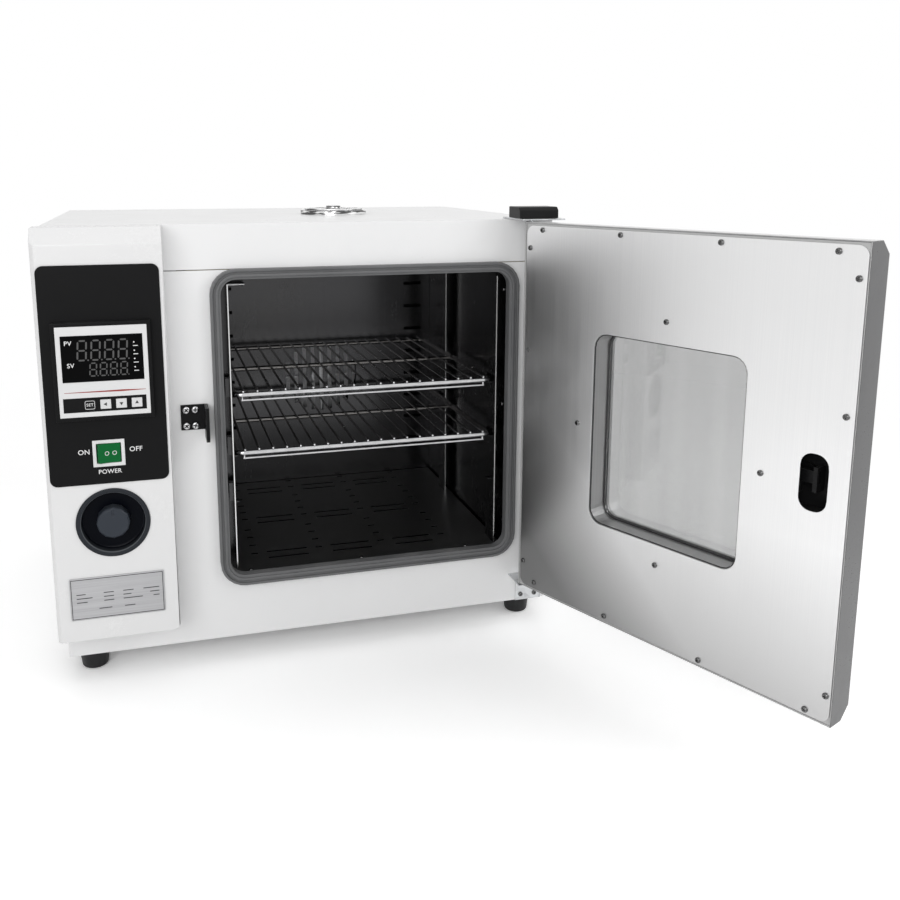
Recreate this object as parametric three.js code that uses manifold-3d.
// A bench drying oven: a sheet-metal case with a control column on the left, an insulated
// stainless chamber with two wire shelves, and a glazed door standing open on its right-hand hinge.
// Millimetres, +Z up. The origin is the middle of the front left foot's underside, on the bench.
// +X is to the viewer's right and -Y is towards the viewer.

import * as THREE from "three";
import { mergeVertices } from "three/addons/utils/BufferGeometryUtils.js";
import Module from "manifold-3d";

const wasm = await Module();
wasm.setup();

// Sheets, gaps and running clearances
const sheet = 1.5;
const panelSheet = 1.2;
const fitGap = 0.3;
const looseGap = 0.6;
const shaftGap = 0.4;
const cutOverrun = 2;
const weldSink = 0.5;

// Case
const caseWidth = 592;
const caseDepth = 450;
const caseHeight = 496;
const footHeight = 28;
const footInsetX = 26;
const footInsetY = 32;
const seamGap = 0.8;
const lintelHeight = 51.5;

// Control column, from its top down
const columnWidth = 131.5;
const columnOverhang = 5.5;
const columnProud = 48;
const columnWall = 2;
const columnEdgeBevel = 4;
const columnCornerRadius = 8;
const fasciaTopDrop = 38.1;
const fasciaToController = 58.75;
const controllerHeight = 104.7;
const controllerToSwitch = 24.05;
const switchHeight = 29.4;
const switchToFasciaEnd = 19.8;
const fasciaToDish = 5.9;
const dishRadius = 39;
const dishToNameplate = 21.9;
const nameplateHeight = 48.8;
const nameplateToBase = 25.6;
const faceBevelDepth = 18;
const faceBevelDrop = 17;

// Chamber, and the layers round it
const chamberFromColumn = 60;
const chamberFromRight = 56;
const openingDrop = 61;
const openingRadius = 19;
const panClearance = 9.2;
const insulationThickness = 34;
const linerWall = 1;
const linerFlange = 7;
const heaterSpace = 32;
const fanSpace = 27;
const motorBay = 41.2;

// Door
const gasketProud = 9.7;
const doorSealGap = 0.6;
const doorTopGap = 1.2;
const doorBottomRise = 40.5;
const doorFreeGap = 11;
const doorLip = 13;
const hingeChamfer = 17;
const hingeBevel = 10;
const freeBevel = 5;
const pivotFromLip = 5;
const pivotFromInside = 15.9;
const pinRadius = 4;
const doorOpenDegrees = 113.1;

// Places that follow from the sizes above
const left = -footInsetX;
const right = left + caseWidth;
const front = -footInsetY;
const back = front + caseDepth;
const base = footHeight;
const top = base + caseHeight;
const seam = top - lintelHeight;
const panelBack = front + sheet;
const columnLeft = left - columnOverhang;
const columnRight = columnLeft + columnWidth;
const columnMiddle = (columnLeft + columnRight) / 2;
const columnFront = front - columnProud;
const fasciaTop = top - fasciaTopDrop;
const controllerTop = fasciaTop - fasciaToController;
const controllerZ = controllerTop - controllerHeight / 2;
const switchTop = controllerTop - controllerHeight - controllerToSwitch;
const switchZ = switchTop - switchHeight / 2;
const fasciaBottom = switchTop - switchHeight - switchToFasciaEnd;
const dishZ = fasciaBottom - fasciaToDish - dishRadius;
const nameplateTop = dishZ - dishRadius - dishToNameplate;
const columnBase = nameplateTop - nameplateHeight - nameplateToBase;
const chamberLeft = columnRight + chamberFromColumn;
const chamberRight = right - chamberFromRight;
const chamberWidth = chamberRight - chamberLeft;
const chamberMiddle = (chamberLeft + chamberRight) / 2;
const openingTop = top - openingDrop;
const linerFloor = base + sheet + panClearance + insulationThickness + fitGap + linerWall;
const floorTop = linerFloor + heaterSpace;
const chamberHeight = openingTop - floorTop;
const linerFront = panelBack + fitGap;
const linerBack = back - sheet - motorBay - insulationThickness - fitGap - linerWall;
const baffleFront = linerBack - fanSpace;
const chamberDepth = baffleFront - front;
const doorInside = front - gasketProud - fitGap - doorSealGap;
const doorOutside = columnFront;
const doorThickness = doorInside - doorOutside;
const doorFree = columnRight + doorFreeGap;
const doorLipX = chamberRight + doorLip;
const doorHingeX = doorLipX + hingeChamfer;
const doorTop = top - doorTopGap;
const doorBottom = base + doorBottomRise;
const pivotX = doorLipX + pivotFromLip;
const pivotY = doorInside - pivotFromInside;

const finishes = {
  whitePaint: [0xe6e7e9, 0.45, 0],
  doorPaint: [0x7c7d80, 0.42, 0],
  columnPaint: [0xe4e4e7, 0.5, 0],
  stainless: [0x97999c, 0.32, 0.9],
  darkStainless: [0x3a3b3c, 0.4, 0.85],
  galvanised: [0x9a9c9b, 0.5, 0.8],
  chrome: [0xc9cbcd, 0.15, 1],
  wool: [0xcfc8b4, 0.95, 0],
  greyRubber: [0x77787a, 0.8, 0],
  blackRubber: [0x161616, 0.85, 0],
  blackPlastic: [0x1a1a1b, 0.45, 0],
  slatePlastic: [0x31363d, 0.4, 0],
  whitePlastic: [0xe9eaeb, 0.4, 0],
  greyPlastic: [0x4a5058, 0.5, 0],
  greenPlastic: [0x0a7a3a, 0.3, 0],
  darkGlass: [0x0d0e10, 0.12, 0],
  clearGlass: [0xdfe8e6, 0.05, 0],
  blackSteel: [0x1d1d1e, 0.5, 0.4],
  silverPlate: [0xb4b5b7, 0.35, 0.7],
  heaterMetal: [0x5a4f45, 0.55, 0.8],
};

function finish(name) {
  const [color, roughness, metalness] = finishes[name];
  return new THREE.MeshStandardMaterial({ name, color, roughness, metalness });
}

// A solid from any closed geometry
function toSolid(geometry) {
  const bare = geometry.clone();
  bare.deleteAttribute("normal");
  bare.deleteAttribute("uv");
  const merged = mergeVertices(bare);
  const index = merged.index.array;
  const kept = [];
  for (let i = 0; i < index.length; i += 3) {
    const corners = [index[i], index[i + 1], index[i + 2]];
    if (new Set(corners).size === 3) {
      kept.push(...corners);
    }
  }
  const vertProperties = new Float32Array(merged.attributes.position.array);
  const triVerts = new Uint32Array(kept);
  return new wasm.Manifold(new wasm.Mesh({ numProp: 3, vertProperties, triVerts }));
}

function toGeometry(solid) {
  const { vertProperties, triVerts } = solid.getMesh();
  const geometry = new THREE.BufferGeometry();
  geometry.setAttribute("position", new THREE.BufferAttribute(vertProperties, 3));
  geometry.setIndex(new THREE.BufferAttribute(triVerts, 1));
  geometry.computeVertexNormals();
  return geometry;
}

function addMesh(group, name, solid, finishName) {
  const mesh = new THREE.Mesh(toGeometry(solid), finish(finishName));
  mesh.name = name;
  group.add(mesh);
  return mesh;
}

function join(solids) {
  return solids.reduce((whole, next) => whole.add(next));
}

function cut(solid, tools) {
  return tools.reduce((rest, tool) => rest.subtract(tool), solid);
}

// The two limits of a width about its middle
function centred(middle, width, gap = 0) {
  return [middle - width / 2 - gap, middle + width / 2 + gap];
}

function past([from, to]) {
  return [from - cutOverrun, to + cutOverrun];
}

// A box between two limits along each axis
function block([x0, x1], [y0, y1], [z0, z1]) {
  const geometry = new THREE.BoxGeometry(x1 - x0, y1 - y0, z1 - z0);
  geometry.translate((x0 + x1) / 2, (y0 + y1) / 2, (z0 + z1) / 2);
  return toSolid(geometry);
}

// A round bar along an axis between two limits, centred at its other two coordinates
function bar(axis, [from, to], [u, v], radius, sides = 20) {
  const geometry = new THREE.CylinderGeometry(radius, radius, to - from, sides);
  const middle = (from + to) / 2;
  if (axis === "x") {
    geometry.rotateZ(-Math.PI / 2);
    geometry.translate(middle, u, v);
  } else if (axis === "y") {
    geometry.translate(u, middle, v);
  } else {
    geometry.rotateX(Math.PI / 2);
    geometry.translate(u, v, middle);
  }
  return toSolid(geometry);
}

function polygon(points) {
  return new THREE.Shape(points.map(([x, y]) => new THREE.Vector2(x, y)));
}

// A rectangle whose corners are quarter circles
function roundedRectangle([x0, x1], [y0, y1], radius) {
  const shape = new THREE.Shape();
  const r = Math.min(radius, (x1 - x0) / 2, (y1 - y0) / 2);
  shape.moveTo(x0 + r, y0);
  shape.absarc(x1 - r, y0 + r, r, -Math.PI / 2, 0);
  shape.absarc(x1 - r, y1 - r, r, 0, Math.PI / 2);
  shape.absarc(x0 + r, y1 - r, r, Math.PI / 2, Math.PI);
  shape.absarc(x0 + r, y0 + r, r, Math.PI, Math.PI * 1.5);
  return shape;
}

// A wedge-shaped piece of a ring round a centre
function sectorShape([u, v], innerRadius, outerRadius, middleAngle, halfAngle) {
  const shape = new THREE.Shape();
  shape.absarc(u, v, outerRadius, middleAngle - halfAngle, middleAngle + halfAngle, false);
  shape.absarc(u, v, innerRadius, middleAngle + halfAngle, middleAngle - halfAngle, true);
  shape.closePath();
  return shape;
}

function extruded(shape, [from, to], curveSegments) {
  return new THREE.ExtrudeGeometry(shape, { depth: to - from, bevelEnabled: false, curveSegments });
}

// A shape drawn in X and Z, given a thickness along Y
function frontPlate(shape, yRange, curveSegments = 3) {
  const geometry = extruded(shape, yRange, curveSegments);
  geometry.rotateX(Math.PI / 2);
  geometry.translate(0, yRange[1], 0);
  return toSolid(geometry);
}

// A shape drawn in X and Y, given a height along Z
function flatPlate(shape, zRange, curveSegments = 3) {
  const geometry = extruded(shape, zRange, curveSegments);
  geometry.translate(0, 0, zRange[0]);
  return toSolid(geometry);
}

// A shape drawn in Y and Z, given a width along X
function sidePlate(shape, xRange) {
  const geometry = extruded(shape, xRange, 3);
  geometry.rotateY(Math.PI / 2);
  geometry.rotateX(Math.PI / 2);
  geometry.translate(xRange[0], 0, 0);
  return toSolid(geometry);
}

// A profile of radius and height turned about Z, or about Y with its heights running towards -Y
function turned(profile, centre, sides, axis = "z") {
  const points = profile.map(([r, h]) => new THREE.Vector2(r, h));
  const geometry = new THREE.LatheGeometry(points, sides);
  geometry.rotateX(Math.PI / 2);
  if (axis === "y") {
    geometry.rotateX(Math.PI / 2);
  }
  geometry.translate(...centre);
  return toSolid(geometry);
}

// A path through stations, each of which becomes one ring of a swept tube
class StationPath extends THREE.Curve {
  constructor(stations) {
    super();
    this.stations = stations;
  }

  getPoint(t, target = new THREE.Vector3()) {
    const place = t * (this.stations.length - 1);
    const before = Math.min(Math.floor(place + Number.EPSILON), this.stations.length - 2);
    return target.lerpVectors(this.stations[before], this.stations[before + 1], place - before);
  }

  getPointAt(t, target) {
    return this.getPoint(t, target);
  }

  getTangentAt(t, target = new THREE.Vector3()) {
    const last = this.stations.length - 1;
    const here = Math.round(t * last);
    const ways = [here - 1, here].filter((i) => i >= 0 && i < last);
    target.set(0, 0, 0);
    for (const i of ways) {
      target.add(this.stations[i + 1].clone().sub(this.stations[i]).normalize());
    }
    return target.normalize();
  }
}

function tube(stations, radius) {
  const section = new THREE.Shape();
  section.absarc(0, 0, radius, 0, Math.PI * 2);
  const extrudePath = new StationPath(stations);
  const steps = stations.length - 1;
  return toSolid(new THREE.ExtrudeGeometry(section, { steps, extrudePath, curveSegments: 4 }));
}

const oven = new THREE.Group();
const cabinet = new THREE.Group();
oven.add(cabinet);

// Sizes that several pieces of the cabinet share
const ventFromFront = 222;
const ventPipeRadius = 20;
const ventPipeWall = 1.5;
const ventX = chamberMiddle;
const ventY = front + ventFromFront;
const fanShaftRadius = 4;
const fanZ = (linerFloor + openingTop) / 2;
const heaterRadius = 4;
const heaterHeightShare = 0.42;
const heaterMargin = 48;
const heaterPasses = 4;
const heaterZ = linerFloor + heaterSpace * heaterHeightShare;
const heaterFirstY = linerFront + heaterMargin;
const heaterLastY = baffleFront - heaterMargin;
const probeRadius = 2.5;
const probeDrop = 45;
const probeFromBaffle = 15;
const probeReach = 60;
const probeY = baffleFront - probeFromBaffle;
const probeZ = openingTop - probeDrop;
const wallTail = 12;
const tailX = chamberLeft - linerWall - fitGap - insulationThickness - wallTail;

// Everything that passes through the liner and its insulation
function linerPiercings(gap) {
  const wallX = [tailX, chamberLeft + cutOverrun];
  return [
    bar("x", wallX, [heaterFirstY, heaterZ], heaterRadius + gap, 12),
    bar("x", wallX, [heaterLastY, heaterZ], heaterRadius + gap, 12),
    bar("x", wallX, [probeY, probeZ], probeRadius + gap, 12),
    bar("y", [linerBack - cutOverrun, back - sheet], [chamberMiddle, fanZ], fanShaftRadius + gap),
    bar("z", [openingTop - cutOverrun, top - sheet], [ventX, ventY], ventPipeRadius + gap, 28),
  ];
}

// Outer case: an upturned U of sheet behind the front panel
const caseY = [panelBack + fitGap, back - sheet - fitGap];
function outerCase() {
  const outer = block([left, right], caseY, [base, top]);
  const hollow = block([left + sheet, right - sheet], past(caseY), [base - cutOverrun, top - sheet]);
  const ventHole = bar("z", past([top - sheet, top]), [ventX, ventY], ventPipeRadius + fitGap, 28);
  return cut(outer, [hollow, ventHole]);
}
addMesh(cabinet, "outer_case", outerCase(), "whitePaint");

// Bottom pan: a tray with turned-up edges and cooling slots below the electrics
const panEdge = 8;
const panSlots = 5;
const panSlotWidth = 4;
const panSlotPitch = 16;
const bayLeft = left + sheet;
const bayRight = chamberLeft - linerWall - fitGap - insulationThickness;
const panSlotShare = 0.6;
function bottomPan() {
  const x = [bayLeft + fitGap, right - sheet - fitGap];
  const outer = block(x, caseY, [base, base + panEdge]);
  const hollow = block(
    [x[0] + sheet, x[1] - sheet],
    [caseY[0] + sheet, caseY[1] - sheet],
    [base + sheet, base + panEdge + cutOverrun],
  );
  const slots = [];
  for (let i = 0; i < panSlots; i += 1) {
    const middle = (front + back) / 2 + (i - (panSlots - 1) / 2) * panSlotPitch;
    const slotX = centred((bayLeft + bayRight) / 2, (bayRight - bayLeft) * panSlotShare);
    slots.push(block(slotX, centred(middle, panSlotWidth), past([base, base + sheet])));
  }
  return cut(outer, [hollow, ...slots]);
}
addMesh(cabinet, "bottom_pan", bottomPan(), "galvanised");

// Feet: tapered rubber with a chamfered sole
const footTopRadius = 18;
const footSoleRadius = 15;
const footChamfer = 2;
function foot(x, y) {
  const profile = [
    [0, 0],
    [footSoleRadius - footChamfer, 0],
    [footSoleRadius, footChamfer],
    [footTopRadius, footHeight - fitGap],
    [0, footHeight - fitGap],
  ];
  return turned(profile, [x, y, 0], 24);
}
const footPlaces = {
  foot_front_left: [left + footInsetX, front + footInsetY],
  foot_front_right: [right - footInsetX, front + footInsetY],
  foot_rear_left: [left + footInsetX, back - footInsetY],
  foot_rear_right: [right - footInsetX, back - footInsetY],
};
for (const [name, [x, y]] of Object.entries(footPlaces)) {
  addMesh(cabinet, name, foot(x, y), "blackRubber");
}

// Controller sizes, which the fascia, the column and the front panel share
const controllerSideMargin = 15.85;
const controllerBezelLip = 5;
const controllerBodyDepth = 62;
const bezelProud = 8.2;
const controllerX = columnMiddle;
const controllerWidth = columnWidth - 2 * controllerSideMargin;
const controllerXRange = centred(controllerX, controllerWidth);
const controllerZRange = centred(controllerZ, controllerHeight);
function controllerBody(gap, yRange) {
  return block(
    centred(controllerX, controllerWidth - 2 * controllerBezelLip, gap),
    yRange,
    centred(controllerZ, controllerHeight - 2 * controllerBezelLip, gap),
  );
}

// Throttle sizes, which the front panel and the throttle disc share
const throttleRadius = 27;
const throttleHub = 9;
const throttleRim = 5;
const throttleCount = 2;
const throttleHalfAngle = Math.PI / 5;
const damperShaftRadius = 4;
function throttleOpenings(yRange) {
  const openings = [];
  for (let i = 0; i < throttleCount; i += 1) {
    const angle = (Math.PI * 2 * i) / throttleCount;
    const outer = throttleRadius - throttleRim;
    const shape = sectorShape([columnMiddle, dishZ], throttleHub, outer, angle, throttleHalfAngle);
    openings.push(frontPlate(shape, past(yRange)));
  }
  return openings;
}

// Front panel: the sheet round the opening, with the throttle's ports behind the column
function frontPanel() {
  const y = [front, panelBack];
  const outline = block([left, right], y, [base, seam - seamGap / 2]);
  const opening = roundedRectangle([chamberLeft, chamberRight], [floorTop, openingTop], openingRadius);
  const shaftHole = bar("y", past(y), [columnMiddle, dishZ], damperShaftRadius + shaftGap);
  return cut(outline, [
    frontPlate(opening, past(y)),
    controllerBody(fitGap, past(y)),
    shaftHole,
    ...throttleOpenings(y),
  ]);
}
addMesh(cabinet, "front_panel", frontPanel(), "whitePaint");

const lintel = block([left, right], [front, panelBack], [seam + seamGap / 2, top]);
addMesh(cabinet, "front_lintel", lintel, "whitePaint");

// Chamber liner: a stainless box open at the front, with a flange behind the front panel
function chamberLiner() {
  const outer = block(
    [chamberLeft - linerWall, chamberRight + linerWall],
    [linerFront, linerBack + linerWall],
    [linerFloor - linerWall, openingTop + linerWall],
  );
  const flange = block(
    [chamberLeft - linerFlange, chamberRight + linerFlange],
    [linerFront, linerFront + linerWall],
    [linerFloor - linerFlange, openingTop + linerFlange],
  );
  const hollow = block(
    [chamberLeft, chamberRight],
    [linerFront - cutOverrun, linerBack],
    [linerFloor, openingTop],
  );
  return cut(outer.add(flange), [hollow, ...linerPiercings(fitGap)]);
}
addMesh(cabinet, "chamber_liner", chamberLiner(), "darkStainless");

// Insulation: a mineral wool jacket on five sides of the liner
const woolFront = caseY[0] + Math.max(sheet, linerWall) + fitGap;
const woolBack = linerBack + linerWall + fitGap + insulationThickness;
function chamberInsulation() {
  const near = linerWall + fitGap;
  const far = near + insulationThickness;
  const outer = block(
    [chamberLeft - far, chamberRight + far],
    [woolFront, woolBack],
    [linerFloor - far, openingTop + far],
  );
  const hollow = block(
    [chamberLeft - near, chamberRight + near],
    [woolFront - cutOverrun, linerBack + near],
    [linerFloor - near, openingTop + near],
  );
  return cut(outer, [hollow, ...linerPiercings(looseGap)]);
}
addMesh(cabinet, "chamber_insulation", chamberInsulation(), "wool");

// Door gasket: a rubber channel gripping the opening's edge, with two ridges facing the door
const gasketInset = 1.5;
const gasketReach = 10.5;
const gasketGroove = 3;
const gasketRidge = 3;
const gasketWeb = 1.2;
const gasketWebDepth = 4;
function openingShape(grow) {
  return roundedRectangle(
    [chamberLeft - grow, chamberRight + grow],
    [floorTop - grow, openingTop + grow],
    openingRadius + grow,
  );
}
function openingRing(inner, outer, yRange) {
  return frontPlate(openingShape(outer), yRange).subtract(frontPlate(openingShape(inner), past(yRange)));
}
function doorGasket() {
  const rear = front - fitGap;
  const face = rear - gasketProud;
  const webInner = -fitGap - gasketWeb;
  return join([
    openingRing(webInner, gasketReach, [face + gasketGroove, rear]),
    openingRing(gasketInset, gasketInset + gasketRidge, [face, rear]),
    openingRing(gasketReach - gasketRidge, gasketReach, [face, rear]),
    openingRing(webInner, -fitGap, [rear - weldSink, panelBack + gasketWebDepth]),
  ]);
}
addMesh(cabinet, "door_gasket", doorGasket(), "greyRubber");

// Floor plate: slotted sheet standing on front and rear flanges, over the heater
const floorSideGap = 2.5;
const floorFrontGap = 7;
const floorRearGap = 2;
const dashColumns = 4;
const dashRowsInGroup = [4, 4, 2];
const dashLength = 8.7;
const slotWidth = 3.5;
const firstDashShare = 0.103;
const dashPitchShare = 0.234;
const longSlotShare = 0.146;
const groupPitchShare = 0.373;
const firstDashRowShare = 0.152;
const dashRowShare = 0.0835;
const firstSlotRowShare = 0.0995;
const slotPairShare = 0.058;
function floorPlate() {
  const x = [chamberLeft + floorSideGap, chamberRight - floorSideGap];
  const y = [linerFront + floorFrontGap, baffleFront - floorRearGap];
  const flangeZ = [linerFloor + fitGap, floorTop];
  const plate = join([
    block(x, y, [floorTop - sheet, floorTop]),
    block(x, [y[0], y[0] + sheet], flangeZ),
    block(x, [y[1] - sheet, y[1]], flangeZ),
  ]);
  const columnX = (column) => chamberLeft + chamberWidth * (firstDashShare + column * dashPitchShare);
  const rowY = (group, share) => y[0] + (y[1] - y[0]) * (share + group * groupPitchShare);
  const holes = [];
  const addHole = (xRange, middleY) => {
    holes.push(block(xRange, centred(middleY, slotWidth), past([floorTop - sheet, floorTop])));
  };
  for (let group = 0; group < dashRowsInGroup.length; group += 1) {
    for (let column = 0; column < dashColumns; column += 1) {
      for (let i = 0; i < dashRowsInGroup[group]; i += 1) {
        addHole(centred(columnX(column), dashLength), rowY(group, firstDashRowShare + i * dashRowShare));
      }
    }
    for (let column = 0; column < dashColumns - 1; column += 1) {
      const slotX = centred(columnX(column + 1 / 2), chamberWidth * longSlotShare);
      addHole(slotX, rowY(group, firstSlotRowShare));
      addHole(slotX, rowY(group, firstSlotRowShare + slotPairShare));
    }
  }
  return cut(plate, holes);
}
addMesh(cabinet, "floor_plate", floorPlate(), "darkStainless");

// Heater: one tube bent to and fro under the floor plate, both ends out through the left wall
const heaterSideMargin = 70;
const bendSteps = 6;
function heaterElement() {
  const pitch = (heaterLastY - heaterFirstY) / (heaterPasses - 1);
  const stations = [new THREE.Vector3(tailX, heaterFirstY, heaterZ)];
  for (let pass = 0; pass < heaterPasses - 1; pass += 1) {
    const outward = pass % 2 === 0;
    const endX = outward ? chamberRight - heaterSideMargin : chamberLeft + heaterSideMargin;
    for (let step = 0; step <= bendSteps; step += 1) {
      const angle = (Math.PI * step) / bendSteps;
      const reach = (Math.sin(angle) * pitch * (outward ? 1 : -1)) / 2;
      const y = heaterFirstY + pitch * (pass + (1 - Math.cos(angle)) / 2);
      stations.push(new THREE.Vector3(endX + reach, y, heaterZ));
    }
  }
  stations.push(new THREE.Vector3(tailX, heaterLastY, heaterZ));
  return tube(stations, heaterRadius);
}
addMesh(cabinet, "heater_element", heaterElement(), "heaterMetal");

// Duct panel: the chamber's rear wall, an air inlet at its middle and outlets along both sides
const ductSheet = 1;
const inletCount = 9;
const inletWidth = 6;
const inletPitch = 13;
const inletHeightShare = 0.3;
const outletCount = 8;
const outletHeight = 5;
const outletLength = 28;
const outletInset = 14;
const outletSpanShare = 0.7;
function ductPanel() {
  const x = [chamberLeft + fitGap, chamberRight - fitGap];
  const z = [linerFloor + fitGap, openingTop - fitGap];
  const y = [baffleFront, baffleFront + ductSheet];
  const returnY = [baffleFront, linerBack - fitGap];
  const panel = join([
    block(x, y, z),
    block([x[0], x[0] + ductSheet], returnY, z),
    block([x[1] - ductSheet, x[1]], returnY, z),
  ]);
  const holes = [];
  for (let i = 0; i < inletCount; i += 1) {
    const away = (i - (inletCount - 1) / 2) / inletCount;
    const height = chamberHeight * inletHeightShare * Math.sqrt(1 - 4 * away * away);
    const middle = chamberMiddle + away * inletCount * inletPitch;
    holes.push(block(centred(middle, inletWidth), past(y), centred(fanZ, height)));
  }
  for (let i = 0; i < outletCount; i += 1) {
    const share = (i / (outletCount - 1) - 1 / 2) * outletSpanShare;
    const z0 = (floorTop + openingTop) / 2 + chamberHeight * share;
    for (const side of [-1, 1]) {
      const middle = chamberMiddle + side * (chamberWidth / 2 - outletInset - outletLength / 2);
      holes.push(block(centred(middle, outletLength), past(y), centred(z0, outletHeight)));
    }
  }
  return cut(panel, holes);
}
addMesh(cabinet, "duct_panel", ductPanel(), "darkStainless");

// Fan: the impeller turns in the space behind the duct panel, on the motor's shaft
const fanRadius = 58;
const fanHubRadius = 14;
const fanBlades = 8;
const bladeThickness = 1.5;
const fanGapShare = 0.18;
const fanFront = baffleFront + ductSheet + fanSpace * fanGapShare;
const fanBack = linerBack - fanSpace * fanGapShare;
const motorRadius = 28;
const motorFlangeRadius = 36;
const motorFlange = 2.5;
const motorRearGap = 4;
const shaftShare = 0.5;
const motorFront = woolBack + fitGap;
const motorBack = back - sheet - motorRearGap;
const shaftEnd = motorFront + (motorBack - motorFront) * shaftShare;
function fanMotor() {
  const body = bar("y", [motorFront, motorBack], [chamberMiddle, fanZ], motorRadius, 28);
  const flangeY = [motorFront, motorFront + motorFlange];
  const flange = bar("y", flangeY, [chamberMiddle, fanZ], motorFlangeRadius, 28);
  const boreY = [motorFront - cutOverrun, shaftEnd + looseGap];
  return body.add(flange).subtract(bar("y", boreY, [chamberMiddle, fanZ], fanShaftRadius + shaftGap));
}
function fanImpeller() {
  const centre = [chamberMiddle, fanZ];
  const disc = bar("y", [fanBack - bladeThickness, fanBack], centre, fanRadius, 32);
  const hub = bar("y", [fanFront, fanBack], centre, fanHubRadius);
  const shaft = bar("y", [fanBack - weldSink, shaftEnd], centre, fanShaftRadius);
  const blades = [];
  for (let i = 0; i < fanBlades; i += 1) {
    const length = fanRadius - fanHubRadius;
    const blade = new THREE.BoxGeometry(length, fanBack - fanFront - weldSink, bladeThickness);
    blade.translate(fanRadius - length / 2 - weldSink, 0, 0);
    blade.rotateY((Math.PI * 2 * i) / fanBlades);
    blade.translate(chamberMiddle, (fanFront + fanBack) / 2, fanZ);
    blades.push(toSolid(blade));
  }
  return join([disc, hub, shaft, ...blades]);
}
addMesh(cabinet, "fan_motor", fanMotor(), "blackSteel");
addMesh(oven, "fan_impeller", fanImpeller(), "stainless");

// Temperature probe: a rod through the left wall with a stop nut outside the insulation
const probeNutRadius = 5;
const probeNutLength = 6;
function temperatureProbe() {
  const rod = bar("x", [tailX, chamberLeft + probeReach], [probeY, probeZ], probeRadius, 12);
  const nutEnd = bayRight - fitGap;
  return rod.add(bar("x", [nutEnd - probeNutLength, nutEnd], [probeY, probeZ], probeNutRadius, 6));
}
addMesh(cabinet, "temperature_probe", temperatureProbe(), "stainless");

// Uprights: bent strips on the side walls, with clips that carry the shelves
const shelfLevelShares = [0.246, 0.406, 0.605];
const shelfWire = 3;
const shelfInset = 12;
const uprightSheet = 1.2;
const uprightOff = 10;
const uprightWidth = 31;
const uprightFoot = 10;
const uprightTopGap = 9;
const frontUprightY = 12;
const rearUprightShare = 0.645;
const clipReach = 5;
const clipWidth = 10;
const clipRise = 22;
const clipKink = 5;
const slotMarkHeight = 3;
const slotMarkPitchShare = 0.07;
const slotMarks = 12;
const slotMarkWidth = 5;
const slotMarkEdge = 2.5;
const uprightYs = {
  front: front + frontUprightY,
  rear: front + chamberDepth * rearUprightShare,
};
function upright(side, y0) {
  const wall = side < 0 ? chamberLeft : chamberRight;
  const xRange = (from, to) => {
    const ends = [wall - side * from, wall - side * to];
    return [Math.min(...ends), Math.max(...ends)];
  };
  const z = [floorTop + fitGap, openingTop - uprightTopGap];
  const far = uprightOff + uprightSheet;
  const y1 = y0 + uprightWidth;
  const parts = [
    block(xRange(uprightOff, far), [y0, y1], z),
    block(xRange(fitGap, far), [y1 - uprightSheet, y1], z),
    block(xRange(fitGap, fitGap + uprightSheet), [y1 - uprightSheet, y1 + uprightFoot], z),
  ];
  const clipY = centred((y0 + y1) / 2, clipWidth);
  for (const share of shelfLevelShares) {
    const seat = floorTop + chamberHeight * share - shelfWire - fitGap;
    parts.push(block(xRange(far - weldSink, far + clipReach), clipY, [seat - uprightSheet, seat]));
    const kinkX = xRange(uprightOff - clipKink, uprightOff + weldSink);
    parts.push(block(kinkX, clipY, [seat + uprightSheet, seat + uprightSheet + clipRise]));
  }
  const marks = [];
  for (let i = 0; i < slotMarks; i += 1) {
    const markZ = z[1] - chamberHeight * slotMarkPitchShare * (i + 1);
    const markY = [y0 + slotMarkEdge, y0 + slotMarkEdge + slotMarkWidth];
    marks.push(block(past(xRange(uprightOff, far)), markY, centred(markZ, slotMarkHeight)));
  }
  return cut(join(parts), marks);
}
for (const [sideName, side] of [["left", -1], ["right", 1]]) {
  for (const [placeName, y] of Object.entries(uprightYs)) {
    addMesh(cabinet, `${sideName}_${placeName}_upright`, upright(side, y), "stainless");
  }
}

// Shelves: a frame of thick wire under a row of thin wires running front to back
const shelfFront = 17;
const shelfRearGap = 18;
const thinWire = 1.5;
const thinWireCount = 19;
const wireMargin = 13;
const crossBars = 1;
const frontRailDrop = 7;
const frontRailSetback = 2.5;
function shelf(level) {
  const x = [chamberLeft + shelfInset, chamberRight - shelfInset];
  const y = [front + shelfFront, baffleFront - shelfRearGap];
  const z = floorTop + chamberHeight * level;
  const insideX = [x[0] + shelfWire, x[1] - shelfWire];
  const insideY = [y[0] + shelfWire, y[1] - shelfWire];
  const parts = [
    bar("y", y, [insideX[0], z], shelfWire, 8),
    bar("y", y, [insideX[1], z], shelfWire, 8),
    bar("x", x, [insideY[0], z], shelfWire, 8),
    bar("x", x, [insideY[1], z], shelfWire, 8),
  ];
  for (let i = 1; i <= crossBars; i += 1) {
    const barY = y[0] + ((y[1] - y[0]) * i) / (crossBars + 1);
    parts.push(bar("x", insideX, [barY, z], shelfWire, 8));
  }
  const railY = insideY[0] + frontRailSetback;
  parts.push(bar("x", insideX, [railY, z - frontRailDrop], thinWire, 8));
  for (const railX of [insideX[0] + shelfWire, insideX[1] - shelfWire]) {
    parts.push(bar("z", [z - frontRailDrop - thinWire, z], [railX, railY], thinWire, 8));
  }
  const span = x[1] - x[0] - 2 * wireMargin;
  const wireZ = z + shelfWire + thinWire - weldSink;
  for (let i = 0; i < thinWireCount; i += 1) {
    const wireX = x[0] + wireMargin + (span * i) / (thinWireCount - 1);
    parts.push(bar("y", y, [wireX, wireZ], thinWire, 6));
  }
  return join(parts);
}
addMesh(oven, "upper_shelf", shelf(shelfLevelShares[2]), "chrome");
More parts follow.
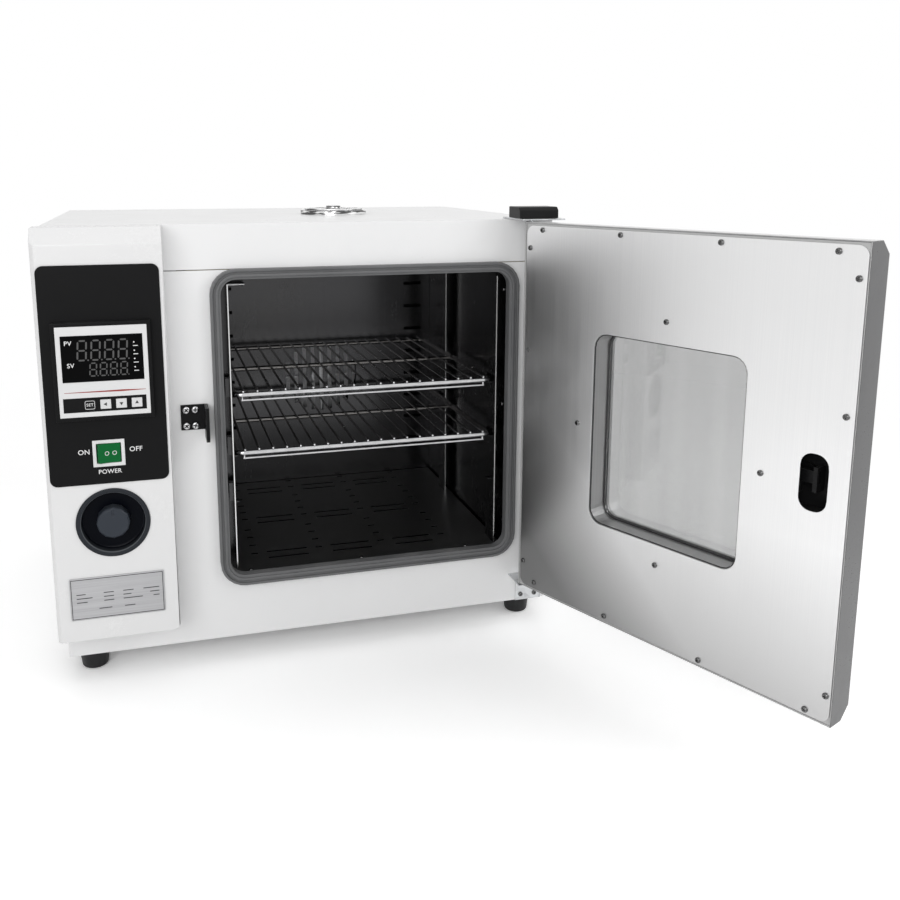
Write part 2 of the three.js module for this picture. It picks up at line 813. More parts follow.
addMesh(oven, "lower_shelf", shelf(shelfLevelShares[1]), "chrome");

// Roof vent: a pipe from the chamber, a flanged collar on the roof and a turning shutter on it
const ventRadius = 45;
const ventHeight = 5.7;
const ventSheet = 1.5;
const shutterRadius = 40;
const ventSlots = 6;
const ventSlotHalfAngle = Math.PI / 15;
const ventSlotInner = 14;
const ventSlotOuter = 34;
const ventKnobRadius = 10;
const ventKnobHeight = 3.6;
const stemRadius = 3;
const collarBase = top + fitGap;
const collarTop = collarBase + ventHeight;
function ventPipe() {
  const z = [openingTop - cutOverrun, top + fitGap];
  const outer = bar("z", z, [ventX, ventY], ventPipeRadius, 28);
  return outer.subtract(bar("z", past(z), [ventX, ventY], ventPipeRadius - ventPipeWall, 28));
}
function ventOpenings(zRange) {
  const openings = [];
  for (let i = 0; i < ventSlots; i += 1) {
    const angle = (Math.PI * 2 * i) / ventSlots;
    const shape = sectorShape([ventX, ventY], ventSlotInner, ventSlotOuter, angle, ventSlotHalfAngle);
    openings.push(flatPlate(shape, past(zRange), 2));
  }
  return openings;
}
function ventCollar() {
  const profile = [
    [0, ventHeight - ventSheet],
    [ventRadius - ventSheet, ventHeight - ventSheet],
    [ventRadius - ventSheet, 0],
    [ventRadius, 0],
    [ventRadius, ventHeight - ventSheet],
    [ventRadius - ventSheet, ventHeight],
    [0, ventHeight],
  ];
  const collar = turned(profile, [ventX, ventY, collarBase], 32);
  const plateZ = [collarTop - ventSheet, collarTop];
  const stemHole = bar("z", past(plateZ), [ventX, ventY], stemRadius + shaftGap);
  return cut(collar, [stemHole, ...ventOpenings(plateZ)]);
}
function ventCap() {
  const z = [collarTop + fitGap, collarTop + fitGap + ventSheet];
  const disc = bar("z", z, [ventX, ventY], shutterRadius, 32);
  const knob = bar("z", [z[0], z[1] + ventKnobHeight], [ventX, ventY], ventKnobRadius, 24);
  const stem = bar("z", [collarBase + fitGap, z[0] + weldSink], [ventX, ventY], stemRadius);
  return cut(disc, ventOpenings(z)).add(knob).add(stem);
}
addMesh(cabinet, "vent_pipe", ventPipe(), "stainless");
addMesh(cabinet, "vent_collar", ventCollar(), "chrome");
addMesh(oven, "vent_cap", ventCap(), "chrome");

// Back cover: a sheet with two banks of louvre slots and the power inlet's hole
const inletWide = 27;
const inletTall = 47;
const inletRise = 60;
const inletFlange = 3;
const inletFlangeLip = 4;
const inletBodyDepth = 20;
const inletWall = 2.5;
const inletRecess = 16;
const inletPins = 3;
const pinSpacingShare = 0.27;
const pinWide = 2;
const pinTall = 5;
const louvreCount = 7;
const louvreHeight = 4;
const louvrePitch = 14;
const louvreSideMargin = 40;
const louvreLength = 150;
const inletX = (left + chamberLeft) / 2;
const inletZ = base + inletRise;
function backCover() {
  const y = [back - sheet, back];
  const plate = block([left, right], y, [base, top]);
  const holes = [block(centred(inletX, inletWide, fitGap), past(y), centred(inletZ, inletTall, fitGap))];
  const bankX = [
    [left + louvreSideMargin, left + louvreSideMargin + louvreLength],
    [right - louvreSideMargin - louvreLength, right - louvreSideMargin],
  ];
  for (const x of bankX) {
    for (let i = 0; i < louvreCount; i += 1) {
      const z = (base + top) / 2 + (i - (louvreCount - 1) / 2) * louvrePitch;
      holes.push(block(x, past(y), centred(z, louvreHeight)));
    }
  }
  return cut(plate, holes);
}
addMesh(cabinet, "back_cover", backCover(), "whitePaint");

function powerInlet() {
  const faceY = [back + fitGap, back + fitGap + inletFlange];
  const bodyY = [back - inletBodyDepth, faceY[0] + weldSink];
  const recessY = [faceY[1] - inletRecess, faceY[1] + cutOverrun];
  const flange = block(
    centred(inletX, inletWide, inletFlangeLip),
    faceY,
    centred(inletZ, inletTall, inletFlangeLip),
  );
  const body = block(centred(inletX, inletWide), bodyY, centred(inletZ, inletTall));
  const recess = block(
    centred(inletX, inletWide - 2 * inletWall),
    recessY,
    centred(inletZ, inletTall - 2 * inletWall),
  );
  const pins = [];
  for (let i = 0; i < inletPins; i += 1) {
    const z = inletZ + (i - (inletPins - 1) / 2) * inletTall * pinSpacingShare;
    const pinY = [recessY[0] - weldSink, faceY[0]];
    pins.push(block(centred(inletX, pinWide), pinY, centred(z, pinTall)));
  }
  return join([flange.add(body).subtract(recess), ...pins]);
}
addMesh(cabinet, "power_inlet", powerInlet(), "blackPlastic");

// Heater relay: a block on the bottom pan, with a heat sink's fins on one side
const relayWidth = 44;
const relayDepth = 58;
const relayHeight = 30;
const relayFins = 5;
const finThickness = 2;
const finHeight = 12;
const relayFromFront = 110;
function heaterRelay() {
  const x = centred((bayLeft + bayRight) / 2, relayWidth);
  const y = [front + relayFromFront, front + relayFromFront + relayDepth];
  const z0 = base + sheet + fitGap;
  const body = block(x, y, [z0, z0 + relayHeight]);
  const fins = [];
  for (let i = 0; i < relayFins; i += 1) {
    const finX = x[0] + finThickness / 2 + ((relayWidth - finThickness) * i) / (relayFins - 1);
    const finZ = [z0 + relayHeight - weldSink, z0 + relayHeight + finHeight];
    fins.push(block(centred(finX, finThickness), y, finZ));
  }
  return join([body, ...fins]);
}
addMesh(cabinet, "heater_relay", heaterRelay(), "blackPlastic");

// Column cover: a hollow moulding open at the back, its upper front edge sloped
const bevelShare = Math.SQRT2 - 1;
const switchSideMargin = 49.25;
const switchLip = 2;
const switchWidth = columnWidth - 2 * switchSideMargin;
const dishWall = 1.6;
const dishRimOverlap = 3.7;
const dishBodyRadius = dishRadius - dishRimOverlap;
function columnBody(inset) {
  const rear = inset > 0 ? front + cutOverrun : front - fitGap;
  const face = columnFront + inset;
  const slope = inset * bevelShare;
  const side = polygon([
    [rear, columnBase + inset],
    [face, columnBase + inset],
    [face, top - faceBevelDrop - slope],
    [columnFront + faceBevelDepth + slope, top - inset],
    [rear, top - inset],
  ]);
  const plan = polygon([
    [columnLeft + inset, rear],
    [columnLeft + inset, columnFront + columnEdgeBevel + slope],
    [columnLeft + columnEdgeBevel + slope, face],
    [columnRight - inset, face],
    [columnRight - inset, rear],
  ]);
  const r = columnCornerRadius;
  const corner = [columnRight - inset - r, columnBase + inset + r];
  const cornerY = past([columnFront, rear]);
  const rounding = block(
    [corner[0], columnRight + cutOverrun],
    cornerY,
    [columnBase - cutOverrun, corner[1]],
  ).subtract(bar("y", past(cornerY), corner, r, 32));
  return sidePlate(side, [columnLeft + inset, columnRight - inset])
    .intersect(flatPlate(plan, [columnBase + inset, top - inset]))
    .subtract(rounding);
}
function switchBody(gap, yRange) {
  return block(
    centred(columnMiddle, switchWidth - 2 * switchLip, gap),
    yRange,
    centred(switchZ, switchHeight - 2 * switchLip, gap),
  );
}
function controlCover() {
  const y = past([columnFront, columnFront + columnWall]);
  const dishHole = bar("y", y, [columnMiddle, dishZ], dishBodyRadius + fitGap, 36);
  return cut(columnBody(0), [
    columnBody(columnWall),
    controllerBody(fitGap, y),
    switchBody(fitGap, y),
    dishHole,
  ]);
}
addMesh(cabinet, "control_cover", controlCover(), "columnPaint");

// Fascia and nameplate: thin plates on the column's face
const fasciaSideMargin = 4.3;
const fasciaRadius = 8;
const fasciaBack = columnFront - fitGap;
const fasciaFront = fasciaBack - panelSheet;
const nameplateSideMargin = 15.6;
const nameplateRadius = 2;
function columnPlate(sideMargin, zRange, radius) {
  const x = centred(columnMiddle, columnWidth - 2 * sideMargin);
  return frontPlate(roundedRectangle(x, zRange, radius), [fasciaFront, fasciaBack]);
}
function fasciaPanel() {
  const y = past([fasciaFront, fasciaBack]);
  const plate = columnPlate(fasciaSideMargin, [fasciaBottom, fasciaTop], fasciaRadius);
  return cut(plate, [controllerBody(fitGap, y), switchBody(fitGap, y)]);
}
addMesh(cabinet, "fascia_panel", fasciaPanel(), "blackPlastic");
const nameplateZ = [nameplateTop - nameplateHeight, nameplateTop];
addMesh(cabinet, "nameplate", columnPlate(nameplateSideMargin, nameplateZ, nameplateRadius), "silverPlate");

// Controller: a case with a sunk face, a display window and four keys in a strip
const caseFront = fasciaFront - fitGap - bezelProud;
const faceMargin = 3.8;
const faceDepth = 1.9;
const facePlate = 1.2;
const windowSideShare = 0.0922;
const windowTopShare = 0.1337;
const windowHeightShare = 0.4651;
const windowProud = 0.3;
const stripSideShare = 0.0832;
const stripHeightShare = 0.1423;
const stripRiseShare = 0.0907;
const keyCount = 4;
const keyHeightShare = 0.0955;
const keyWidthShare = 0.108;
const keyPitchShare = 0.159;
const keyFirstShare = 0.2645;
const keyProud = 0.9;
const keyTravel = 0.8;
const keyDepth = 3.5;
const faceBack = caseFront + faceDepth - fitGap;
const faceFront = faceBack - facePlate;
const windowX = centred(controllerX, controllerWidth * (1 - 2 * windowSideShare));
const windowTop = controllerZRange[1] - controllerHeight * windowTopShare;
const windowZ = [windowTop - controllerHeight * windowHeightShare, windowTop];
const stripX = centred(controllerX, controllerWidth * (1 - 2 * stripSideShare));
const stripBottom = controllerZRange[0] + controllerHeight * stripRiseShare;
const stripZ = [stripBottom, stripBottom + controllerHeight * stripHeightShare];
const keyNames = ["key_set", "key_shift", "key_down", "key_up"];
function keyRanges(i, gap) {
  const middle = controllerXRange[0] + controllerWidth * (keyFirstShare + keyPitchShare * i);
  return [
    centred(middle + controllerWidth * keyPitchShare / 2, controllerWidth * keyWidthShare, gap),
    centred((stripZ[0] + stripZ[1]) / 2, controllerHeight * keyHeightShare, gap),
  ];
}
function keyCuts(yRange) {
  return keyNames.slice(0, keyCount).map((name, i) => {
    const [x, z] = keyRanges(i, fitGap);
    return block(x, yRange, z);
  });
}
function controllerCase() {
  const bezel = block(controllerXRange, [caseFront, fasciaFront - fitGap], controllerZRange);
  const body = controllerBody(0, [fasciaFront - fitGap - weldSink, fasciaFront + controllerBodyDepth]);
  const faceSink = block(
    centred(controllerX, controllerWidth - 2 * faceMargin),
    [caseFront - cutOverrun, caseFront + faceDepth],
    centred(controllerZ, controllerHeight - 2 * faceMargin),
  );
  const keyY = [caseFront, faceFront - keyProud + keyDepth + keyTravel + fitGap];
  return cut(bezel.add(body), [faceSink, ...keyCuts(keyY)]);
}
function controllerFace() {
  const plate = block(
    centred(controllerX, controllerWidth - 2 * faceMargin - 2 * fitGap),
    [faceFront, faceBack],
    centred(controllerZ, controllerHeight - 2 * faceMargin - 2 * fitGap),
  );
  const y = past([faceFront, faceBack]);
  const grow = ([from, to]) => [from - fitGap, to + fitGap];
  return cut(plate, [block(grow(windowX), y, grow(windowZ)), block(grow(stripX), y, grow(stripZ))]);
}
addMesh(cabinet, "controller_case", controllerCase(), "blackPlastic");
addMesh(cabinet, "controller_face", controllerFace(), "whitePlastic");
addMesh(cabinet, "display_window", block(windowX, [faceFront - windowProud, faceBack], windowZ), "darkGlass");
const keyStrip = cut(block(stripX, [faceFront, faceBack], stripZ), keyCuts(past([faceFront, faceBack])));
addMesh(cabinet, "key_strip", keyStrip, "greyPlastic");
for (let i = 0; i < keyCount; i += 1) {
  const [x, z] = keyRanges(i, 0);
  const y = [faceFront - keyProud, faceFront - keyProud + keyDepth];
  addMesh(oven, keyNames[i], block(x, y, z), "greyPlastic");
}

// Rocker switch: a frame with a pocket, and a rocker tilting about an upright pin line
const switchFrameProud = 2;
const switchBodyDepth = 22;
const switchPocketWall = 1.7;
const switchPocketBack = 4;
const rockerGap = 0.4;
const rockerTilt = Math.PI / 18;
const rockerDip = 2.1;
const rockerFaceDepth = 4.4;
const rockerRear = 5;
const switchFace = fasciaFront - fitGap - switchFrameProud;
const rockerPivotY = switchFace + rockerFaceDepth;
const pocketHalf = (switchWidth - 2 * switchLip) / 2 - switchPocketWall;
const rockerHeight = switchHeight - 2 * switchLip - 2 * switchPocketWall - 2 * rockerGap;
function switchFrame() {
  const bezelY = [switchFace, fasciaFront - fitGap];
  const bezel = block(centred(columnMiddle, switchWidth), bezelY, centred(switchZ, switchHeight));
  const body = switchBody(0, [bezelY[1] - weldSink, switchFace + switchBodyDepth]);
  const pocket = block(
    centred(columnMiddle, 2 * pocketHalf),
    [switchFace - cutOverrun, switchFace + switchBodyDepth - switchPocketBack],
    centred(switchZ, rockerHeight, rockerGap),
  );
  return bezel.add(body).subtract(pocket);
}
function powerRocker() {
  const radius = pocketHalf - rockerGap;
  const face = polygon([
    [-radius - cutOverrun, -rockerFaceDepth - rockerDip],
    [0, -rockerFaceDepth],
    [radius + cutOverrun, -rockerFaceDepth - rockerDip],
    [radius + cutOverrun, rockerRear],
    [-radius - cutOverrun, rockerRear],
  ]);
  const zRange = [-rockerHeight / 2, rockerHeight / 2];
  return bar("z", zRange, [0, 0], radius, 36).intersect(flatPlate(face, past(zRange)));
}
addMesh(cabinet, "switch_frame", switchFrame(), "blackPlastic");
const rocker = addMesh(oven, "power_rocker", powerRocker(), "greenPlastic");
rocker.position.set(columnMiddle, rockerPivotY, switchZ);
rocker.rotation.z = rockerTilt;

// Damper: a dish in the column, a faceted knob in it and a throttle disc behind the front panel
const dishRim = 1.7;
const dishDepth = 12;
const knobRadius = 17.6;
const knobFacets = 12;
const knobChamfer = 2;
const knobProud = 4.5;
const pointerWidth = 2.5;
const pointerDepth = 1;
const throttleSheet = 1.5;
const recessRadius = dishBodyRadius - dishWall;
const dishBack = columnFront + dishDepth + dishWall;
function damperDish() {
  const centre = [columnMiddle, dishZ];
  const rim = bar("y", [fasciaBack - dishRim, fasciaBack], centre, dishRadius, 32);
  const cup = bar("y", [fasciaBack - weldSink, dishBack], centre, dishBodyRadius, 32);
  const recess = bar("y", [fasciaBack - dishRim - cutOverrun, dishBack - dishWall], centre, recessRadius, 32);
  const hole = bar("y", past([dishBack - dishWall, dishBack]), centre, damperShaftRadius + shaftGap);
  return rim.add(cup).subtract(recess).subtract(hole);
}
const knobFront = columnFront - knobProud;
const knobBack = dishBack - dishWall - looseGap;
const throttleY = [panelBack + looseGap, panelBack + looseGap + throttleSheet];
function damperKnob() {
  const depth = knobBack - knobFront;
  const profile = [
    [0, 0],
    [knobRadius, 0],
    [knobRadius, depth - knobChamfer],
    [knobRadius - knobChamfer, depth],
    [0, depth],
  ];
  const knob = turned(profile, [columnMiddle, knobBack, dishZ], knobFacets, "y");
  const pointer = block(
    centred(columnMiddle, pointerWidth),
    [knobFront - cutOverrun, knobFront + pointerDepth],
    [dishZ + knobRadius / 2, dishZ + knobRadius + cutOverrun],
  );
  const shaftEndY = throttleY[0] - fitGap;
  const shaft = bar("y", [knobBack - weldSink, shaftEndY], [columnMiddle, dishZ], damperShaftRadius);
  return knob.subtract(pointer).add(shaft);
}
function throttleDisc() {
  const disc = bar("y", throttleY, [columnMiddle, dishZ], throttleRadius, 32);
  return cut(disc, throttleOpenings(throttleY));
}
addMesh(cabinet, "damper_dish", damperDish(), "slatePlastic");
addMesh(oven, "damper_knob", damperKnob(), "greyPlastic");
addMesh(oven, "throttle_disc", throttleDisc(), "galvanised");

// Latch sizes, which the keeper, the door panel and the latch pieces share
const latchFromFree = 53;
const latchAboveMiddle = 3.85;
const pocketLeftReach = 33;
const pocketRightReach = 13;
const pocketHalfHeight = 30.5;
const pocketWall = 1;
const pocketFlange = 4;
const pocketRearShare = 0.374;
const latchX = doorFree + latchFromFree;
const latchZ = (doorBottom + doorTop) / 2 + latchAboveMiddle;
const innerPanelBack = doorInside - panelSheet;
const pocketFront = innerPanelBack - fitGap;
const pocketRear = doorOutside + doorThickness * pocketRearShare;
const pocketDepth = pocketFront - pocketRear;
const inPocket = (share) => pocketRear + pocketDepth * share;

// Strike: a screwed plate with a forward tongue, whose eye takes the latch bolt
const strikeLeftReach = 52;
const strikeTongueReach = 25.5;
const tongueThickness = 4;
const tongueHalfHeight = 19.75;
const strikePlateDrop = 10;
const eyeBelow = 6.5;
const eyeAbove = 10.5;
const tongueTipShare = 0.18;
const eyeShares = [0.3, 0.78];
const tongueChamfer = 4;
function strikeKeeper() {
  const tongueX = [latchX - strikeTongueReach, latchX - strikeTongueReach + tongueThickness];
  const z = [latchZ - tongueHalfHeight, latchZ + tongueHalfHeight];
  const tip = inPocket(tongueTipShare);
  const rear = front - fitGap;
  const tongue = sidePlate(
    polygon([
      [rear, z[0]],
      [tip + tongueChamfer, z[0]],
      [tip, z[0] + tongueChamfer],
      [tip, z[1] - tongueChamfer],
      [tip + tongueChamfer, z[1]],
      [rear, z[1]],
    ]),
    tongueX,
  );
  const plateX = [latchX - strikeLeftReach, tongueX[1]];
  const plate = block(plateX, [rear - sheet, rear], [latchZ - strikePlateDrop, z[1]]);
  const eye = block(past(tongueX), eyeShares.map(inPocket), [latchZ - eyeBelow, latchZ + eyeAbove]);
  return tongue.add(plate).subtract(eye);
}
addMesh(cabinet, "strike_keeper", strikeKeeper(), "stainless");

// Upper hinge: a plate on the roof that carries the upper pin, under a black cap
const hingePlateThickness = 2;
const hingePlateLeft = 16;
const hingePlateRight = 38;
const hingePlateFront = 11.5;
const hingePlateRear = 30;
const pinLength = 12;
const capWall = 2;
const capHeight = 13.5;
const capLeft = 21;
const capRight = 28;
const capRear = 22.5;
const capChamfer = 4;
const hingePlateZ = [top + fitGap, top + fitGap + hingePlateThickness];
function upperHingePlate() {
  const plate = block(
    [pivotX - hingePlateLeft, pivotX + hingePlateRight],
    [pivotY - hingePlateFront, front + hingePlateRear],
    hingePlateZ,
  );
  const pinZ = [doorTop - pinLength, hingePlateZ[0] + weldSink];
  return plate.add(bar("z", pinZ, [pivotX, pivotY], pinRadius));
}
function hingeCap() {
  const x = [pivotX - capLeft, pivotX + capRight];
  const y = [pivotY - hingePlateFront - capWall, pivotY + capRear];
  const z = [hingePlateZ[1] + fitGap, hingePlateZ[1] + fitGap + capHeight];
  const side = polygon([
    [y[0], z[0]],
    [y[0], z[1] - capChamfer],
    [y[0] + capChamfer, z[1]],
    [y[1], z[1]],
    [y[1], z[0]],
  ]);
  const hollow = block(
    [x[0] + capWall, x[1] - capWall],
    [y[0] + capWall, y[1] - capWall],
    [z[0] - cutOverrun, z[1] - capWall - capChamfer],
  );
  return sidePlate(side, x).subtract(hollow);
}
addMesh(cabinet, "upper_hinge_plate", upperHingePlate(), "stainless");
addMesh(cabinet, "hinge_cap", hingeCap(), "blackPlastic");

// Lower hinge bracket: a plate on the front panel with a tongue under the door and the lower pin
const bracketLeft = 2;
const bracketRight = 33;
const bracketThickness = 1.8;
const bracketDoorGap = 2.7;
const tongueLeft = 12;
function lowerHingeBracket() {
  const rear = front - fitGap;
  const tongueTop = doorBottom - bracketDoorGap;
  const plateX = [pivotX - bracketLeft, pivotX + bracketRight];
  const plate = block(plateX, [rear - bracketThickness, rear], [base, tongueTop]);
  const tongue = block(
    [pivotX - tongueLeft, pivotX + bracketRight],
    [pivotY - hingePlateFront, rear],
    [tongueTop - bracketThickness, tongueTop],
  );
  const pinZ = [tongueTop - weldSink, doorBottom + pinLength];
  return join([plate, tongue, bar("z", pinZ, [pivotX, pivotY], pinRadius)]);
}
addMesh(cabinet, "lower_hinge_bracket", lowerHingeBracket(), "galvanised");

// The door is drawn closed and turned about its pins
const door = new THREE.Group();
door.position.set(pivotX, pivotY, 0);
door.rotation.z = THREE.MathUtils.degToRad(doorOpenDegrees);
oven.add(door);
function addDoorMesh(name, solid, finishName) {
  addMesh(door, name, solid, finishName).position.set(-pivotX, -pivotY, 0);
}

// The door's outline, shrunk on all sides but the inside when an inset is given
function doorBody(inset) {
  const rear = inset > 0 ? doorInside + cutOverrun : doorInside;
  const slope = inset * bevelShare;
  const lipX = doorLipX - inset * Math.SQRT2;
  const outline = [
    [doorFree + inset, rear],
    [doorFree + inset, doorOutside + freeBevel + slope],
    [doorFree + freeBevel + slope, doorOutside + inset],
    [doorHingeX - hingeBevel - slope, doorOutside + inset],
    [doorHingeX - inset, doorOutside + hingeBevel + slope],
    [doorHingeX - inset, doorInside - hingeChamfer - slope],
    [lipX, doorInside],
  ];
  const plan = polygon(inset > 0 ? [...outline, [lipX, rear]] : outline);
  const side = polygon([
    [rear, doorBottom + inset],
    [doorOutside + faceBevelDepth + slope, doorBottom + inset],
    [doorOutside + inset, doorBottom + faceBevelDrop + slope],
    [doorOutside + inset, doorTop - faceBevelDrop - slope],
    [doorOutside + faceBevelDepth + slope, doorTop - inset],
    [rear, doorTop - inset],
  ]);
  return flatPlate(plan, [doorBottom + inset, doorTop - inset])
    .intersect(sidePlate(side, [doorFree, doorHingeX]));
}

// Door window, centred in the inner panel
const panelSideGap = 2;
const panelLipGap = 3;
const panelBottomGap = 2.5;
const panelTopGap = 3.8;
const panelRadius = 10;
const windowSideMarginShare = 0.2646;
const windowEndMarginShare = 0.2545;
const windowRadius = 17;
const frameRim = 7.7;
const frameLedge = 3;
const glassThickness = 3;
const glassSink = 0.5;
const ledgeThickness = 3.9;
const panelX = [doorFree + panelSideGap, doorLipX - panelLipGap];
const panelZ = [doorBottom + panelBottomGap, doorTop - panelTopGap];
const windowMarginX = (panelX[1] - panelX[0]) * windowSideMarginShare;
const windowMarginZ = (panelZ[1] - panelZ[0]) * windowEndMarginShare;
function windowShape(grow) {
  return roundedRectangle(
    [panelX[0] + windowMarginX - grow, panelX[1] - windowMarginX + grow],
    [panelZ[0] + windowMarginZ - grow, panelZ[1] - windowMarginZ + grow],
    windowRadius + grow,
  );
}
const outerGlassY = [doorOutside + glassSink, doorOutside + glassSink + glassThickness];
const ledgeY = [outerGlassY[1] + fitGap, outerGlassY[1] + fitGap + ledgeThickness];
const innerGlassY = [ledgeY[1] + fitGap, ledgeY[1] + fitGap + glassThickness];
const frameY = [doorOutside + glassSink, innerPanelBack - fitGap];

// Door shell: a pressed tray with a return lip behind the inner panel and a bush at each pin
const shellLip = 12;
const bushRadius = 6.6;
const bushLength = 14;
const latchShaftRadius = 5;
const lipBack = pocketFront - panelSheet;
function pivotColumns(radius, zPast) {
  return [
    bar("z", [doorTop - bushLength, doorTop + zPast], [pivotX, pivotY], radius),
    bar("z", [doorBottom - zPast, doorBottom + bushLength], [pivotX, pivotY], radius),
  ];
}
function doorShell() {
  const body = doorBody(0);
  const lipSlab = block([doorFree, doorHingeX], [lipBack, pocketFront], [doorBottom, doorTop]);
  const lipOpening = block(
    [doorFree + shellLip, doorLipX - shellLip],
    past([lipBack, pocketFront]),
    [doorBottom + shellLip, doorTop - shellLip],
  );
  const lip = body.intersect(lipSlab).subtract(lipOpening);
  const bushes = join(pivotColumns(bushRadius, 0)).intersect(body);
  const y = past([doorOutside, doorOutside + panelSheet]);
  return cut(join([body.subtract(doorBody(panelSheet)), lip, bushes]), [
    frontPlate(windowShape(frameRim + fitGap), y),
    bar("y", y, [latchX, latchZ], latchShaftRadius + shaftGap),
    ...pivotColumns(pinRadius + shaftGap, cutOverrun),
  ]);
}
addDoorMesh("door_shell", doorShell(), "doorPaint");

// Inner panel, with the window and the latch slot
const slotLeft = 31.3;
const slotRight = 3.6;
const slotHalf = 27.5;
const slotRadius = 12;
function innerPanel() {
  const y = [innerPanelBack, doorInside];
  const slot = roundedRectangle(
    [latchX - slotLeft, latchX - slotRight],
    [latchZ - slotHalf, latchZ + slotHalf],
    slotRadius,
  );
  const panel = frontPlate(roundedRectangle(panelX, panelZ, panelRadius), y);
  return cut(panel, [frontPlate(windowShape(0), past(y)), frontPlate(slot, past(y))]);
}
addDoorMesh("door_inner_panel", innerPanel(), "stainless");

// Window frame: a deep ring with a ledge between the two panes
function windowFrame() {
  const ring = frontPlate(windowShape(frameRim), frameY).subtract(frontPlate(windowShape(0), past(frameY)));
  const ledge = frontPlate(windowShape(weldSink), ledgeY)
    .subtract(frontPlate(windowShape(-frameLedge), past(ledgeY)));
  return ring.add(ledge);
}
addDoorMesh("window_frame", windowFrame(), "stainless");
addDoorMesh("outer_glass", frontPlate(windowShape(-fitGap), outerGlassY), "clearGlass");
addDoorMesh("inner_glass", frontPlate(windowShape(-fitGap), innerGlassY), "clearGlass");

// Latch pocket: a box behind the slot, with a guide for the bolt
const guideReach = 16.5;
const guideWidth = 4;
const guideHalf = 12;
const boltBelow = 4;
const boltAbove = 8;
const boltShares = [0.364, 0.636];
const boltGap = 0.5;
const pocketX = [latchX - pocketLeftReach, latchX + pocketRightReach];
const pocketZ = [latchZ - pocketHalfHeight, latchZ + pocketHalfHeight];
const widen = ([from, to], by) => [from - by, to + by];
function boltBar(xRange, gap) {
  const z = [latchZ - boltBelow, latchZ + boltAbove];
  return block(xRange, widen(boltShares.map(inPocket), gap), widen(z, gap));
}
function latchPocket() {
  const wallY = [pocketRear - pocketWall, pocketFront];
  const walls = block(widen(pocketX, pocketWall), wallY, widen(pocketZ, pocketWall));
  const flangeWide = pocketWall + pocketFlange;
  const flange = block(
    widen(pocketX, flangeWide),
    [pocketFront - pocketWall, pocketFront],
    widen(pocketZ, flangeWide),
  );
  const hollow = block(pocketX, [pocketRear, pocketFront + cutOverrun], pocketZ);
  const shaftY = past([pocketRear - pocketWall, pocketRear]);
  const shaftHole = bar("y", shaftY, [latchX, latchZ], latchShaftRadius + shaftGap);
  const guideX = centred(latchX - guideReach + guideWidth / 2, guideWidth);
  const guideTop = Math.max(...boltShares);
  const guide = block(
    guideX,
    [pocketRear - weldSink, inPocket(guideTop) + 2 * boltGap],
    [latchZ - guideHalf, latchZ + boltAbove + guideWidth],
  );
  const shell = cut(walls.add(flange), [hollow, shaftHole]);
  return shell.add(guide.subtract(boltBar(past(guideX), boltGap)));
}
addDoorMesh("latch_pocket", latchPocket(), "galvanised");

// Latch bolt: slides through the keeper's eye, driven by the crank pin in its yoke
const crankRadius = 8.5;
const crankPinRadius = 2.5;
const crankDiscRadius = 11.5;
const crankDiscShares = [0.025, 0.2];
const yokeGap = 0.8;
const yokeWall = 2.6;
const yokeEnd = 3;
const boltTipReach = 17;
const crankAcross = crankRadius / Math.SQRT2;
const pinX = latchX + crankAcross;
const pinZ = latchZ - crankAcross;
function latchBolt() {
  const slotX = centred(pinX, 2 * crankPinRadius, yokeGap);
  const yokeX = widen(slotX, yokeWall);
  const slotZ = [latchZ - crankRadius - crankPinRadius - yokeGap, pinZ + crankPinRadius + yokeGap];
  const y = boltShares.map(inPocket);
  const shank = boltBar([latchX - boltTipReach, yokeX[1]], 0);
  const yoke = block(yokeX, y, [slotZ[0] - yokeEnd, latchZ - boltBelow + weldSink]);
  return shank.add(yoke).subtract(block(slotX, past(y), slotZ));
}
const handleStandOff = 3.6;
const shaftIntoHub = 8;
function latchCrank() {
  const discY = crankDiscShares.map(inPocket);
  const boltFrontY = inPocket(Math.max(...boltShares));
  const disc = bar("y", discY, [latchX, latchZ], crankDiscRadius, 24);
  const shaftY = [doorOutside - handleStandOff - shaftIntoHub, discY[0] + weldSink];
  const shaft = bar("y", shaftY, [latchX, latchZ], latchShaftRadius);
  const pin = bar("y", [discY[1] - weldSink, boltFrontY + boltGap], [pinX, pinZ], crankPinRadius, 16);
  return join([disc, shaft, pin]);
}

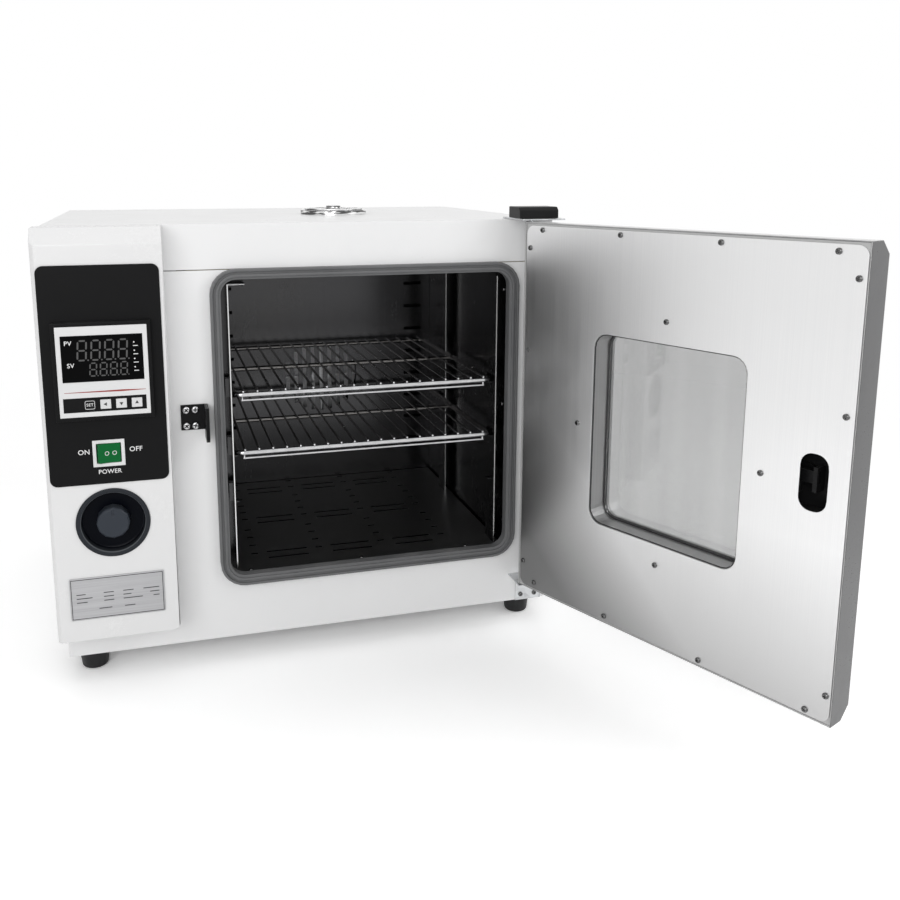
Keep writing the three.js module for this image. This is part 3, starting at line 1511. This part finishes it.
// Outside handle: a wing bar on the latch shaft, upright while the bolt is drawn in, over a round plate
const hubRadius = 13;
const hubDepth = 14.4;
const leverReach = 49;
const leverHalfWidth = 7;
const leverThickness = 10;
const handlePlateRadius = 20;
const handlePlateThickness = 2.7;
function doorHandle() {
  const hubY = [doorOutside - handleStandOff - hubDepth, doorOutside - handleStandOff];
  const leverY = [hubY[0], hubY[0] + leverThickness];
  const leverX = centred(latchX, 2 * leverHalfWidth);
  const leverZ = centred(latchZ, 2 * leverReach);
  const lever = frontPlate(roundedRectangle(leverX, leverZ, leverHalfWidth), leverY);
  const hub = bar("y", hubY, [latchX, latchZ], hubRadius, 28);
  const boreY = [hubY[1] - shaftIntoHub - fitGap, hubY[1] + cutOverrun];
  return hub.add(lever).subtract(bar("y", boreY, [latchX, latchZ], latchShaftRadius + fitGap));
}
function handlePlate() {
  const y = [doorOutside - fitGap - handlePlateThickness, doorOutside - fitGap];
  const plate = bar("y", y, [latchX, latchZ], handlePlateRadius, 32);
  return plate.subtract(bar("y", past(y), [latchX, latchZ], latchShaftRadius + shaftGap));
}
addDoorMesh("latch_bolt", latchBolt(), "stainless");
addDoorMesh("latch_crank", latchCrank(), "stainless");
addDoorMesh("door_handle", doorHandle(), "blackPlastic");
addDoorMesh("handle_plate", handlePlate(), "stainless");

// Door insulation: wool filling the shell round the window frame, the pocket and the bushes
const doorWoolGap = 1.2;
function doorInsulation() {
  const pocketHole = block(
    widen(pocketX, pocketWall + pocketFlange + looseGap),
    [pocketRear - pocketWall - looseGap, doorInside + cutOverrun],
    widen(pocketZ, pocketWall + pocketFlange + looseGap),
  );
  const slabY = [lipBack - looseGap, doorInside + 2 * cutOverrun];
  const slab = block([doorFree, doorHingeX], slabY, [doorBottom, doorTop]);
  const y = past([doorOutside, doorInside]);
  return cut(doorBody(panelSheet + doorWoolGap), [
    slab,
    pocketHole,
    frontPlate(windowShape(frameRim + looseGap), y),
    bar("y", y, [latchX, latchZ], latchShaftRadius + 2 * shaftGap),
    ...pivotColumns(bushRadius + looseGap, cutOverrun),
  ]);
}
addDoorMesh("door_insulation", doorInsulation(), "wool");

export default oven;
